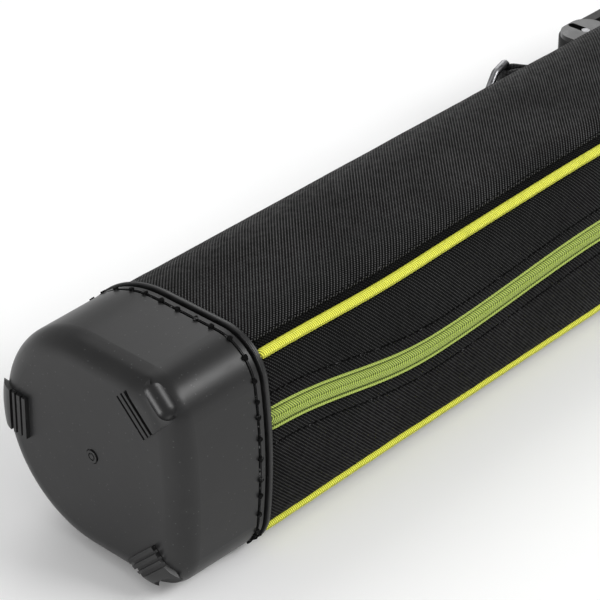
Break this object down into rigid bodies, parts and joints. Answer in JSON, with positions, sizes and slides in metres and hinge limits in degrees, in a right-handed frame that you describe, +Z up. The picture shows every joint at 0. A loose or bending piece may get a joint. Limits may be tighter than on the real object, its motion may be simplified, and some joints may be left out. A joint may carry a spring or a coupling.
{
  "type": "cue case",
  "caption": "Hard case for jointed billiard cues: D-shaped black fabric tube with moulded ends, lime piping, front pocket zip, hinged lid and handle.",
  "frame": {"origin": "middle of the footprint, on the surface that the case lies on", "axes": "+X along the case from the boot to the lid, +Y from the flat zipped front to the rounded back with the handle, +Z up"},
  "size_m": [0.842, 0.1278, 0.1],
  "materials": {
    "boot_rubber": "semi-matt moulded, smooth",
    "thread_black": "waxed thread",
    "cover_fabric": "black twill weave",
    "piping_lime": "corded satin",
    "zip_green": "woven tape and coil",
    "slider_metal": "black enamel",
    "tube_plastic": "extruded",
    "sleeve_plastic": "flocked inside",
    "foam": "closed-cell foam",
    "lining_cloth": "plain weave",
    "handle_plastic": "moulded, glossy",
    "ring_metal": "dark nickel",
    "webbing": "flat webbing"
  },
  "bodies": {
    "case": {"bottom_boot": "boot_rubber", "bottom_boot_thread": "thread_black", "base_pad": "foam", "tube_shell": "tube_plastic", "foam_padding": "foam", "lower_spacer_plate": "sleeve_plastic", "upper_spacer_plate": "sleeve_plastic", "butt_sleeve_front": "sleeve_plastic", "butt_sleeve_back": "sleeve_plastic", "shaft_sleeve_lower_front": "sleeve_plastic", "shaft_sleeve_upper_front": "sleeve_plastic", "shaft_sleeve_lower_back": "sleeve_plastic", "shaft_sleeve_upper_back": "sleeve_plastic", "main_cover": "cover_fabric", "front_panel_upper": "cover_fabric", "front_panel_lower": "cover_fabric", "pocket_lining": "lining_cloth", "piping_upper": "piping_lime", "piping_lower": "piping_lime", "pocket_zip_tape": "zip_green", "pocket_zip_coil": "zip_green", "pocket_zip_stop": "slider_metal", "lid_zip_case_side": "zip_green", "hinge_strip_case_leaf": "webbing", "lower_strap_tab": "webbing", "upper_strap_tab": "webbing", "handle_bracket_lower": "handle_plastic", "handle_bracket_upper": "handle_plastic"},
    "lid": {"lid_cap": "boot_rubber", "lid_cap_thread": "thread_black", "lid_skirt_back": "cover_fabric", "lid_skirt_front": "cover_fabric", "lid_pad": "foam", "lid_pipings": "piping_lime", "lid_zip_lid_side": "zip_green", "hinge_strip_lid_leaf": "webbing"},
    "pocket_slider": {"pocket_zip_slider": "slider_metal"},
    "pocket_pull": {"pocket_zip_pull": "slider_metal"},
    "lid_slider": {"lid_zip_slider": "slider_metal"},
    "lid_pull": {"lid_zip_pull": "slider_metal"},
    "lower_ring": {"lower_strap_ring": "ring_metal"},
    "upper_ring": {"upper_strap_ring": "ring_metal"},
    "handle": {"handle_grip": "handle_plastic", "handle_pins": "ring_metal"}
  },
  "joints": [
    {"name": "lid_hinge", "type": "hinge", "parent": "case", "child": "lid", "pos_m": [0.343, 0.0434, 0.05], "axis": [0, 0, 1], "range_deg": [0, 110]},
    {"name": "pocket_zip_travel", "type": "slide", "parent": "case", "child": "pocket_slider", "axis": [-1, 0, 0], "range_m": [0, 0.478]},
    {"name": "pocket_pull_swing", "type": "hinge", "parent": "pocket_slider", "child": "pocket_pull", "pos_m": [0.3225, -0.0622, 0.0552], "axis": [0, 0, 1], "range_deg": [0, 150]},
    {"name": "lid_zip_travel", "type": "hinge", "parent": "case", "child": "lid_slider", "pos_m": [0.343, -0.0056, 0.05], "axis": [1, 0, 0], "range_deg": [0, 28]},
    {"name": "lid_pull_swing", "type": "hinge", "parent": "lid_slider", "child": "lid_pull", "pos_m": [0.343, 0.02125, 0.09651], "axis": [1, 0, 0], "range_deg": [0, 150]},
    {"name": "lower_ring_swing", "type": "hinge", "parent": "case", "child": "lower_ring", "pos_m": [-0.093, 0.052, 0.05], "axis": [0, 0, -1], "range_deg": [0, 120]},
    {"name": "upper_ring_swing", "type": "hinge", "parent": "case", "child": "upper_ring", "pos_m": [0.297, 0.052, 0.05], "axis": [0, 0, 1], "range_deg": [0, 120]},
    {"name": "handle_lift", "type": "slide", "parent": "case", "child": "handle", "axis": [0, 1, 0], "range_m": [0, 0.008]}
  ]
}
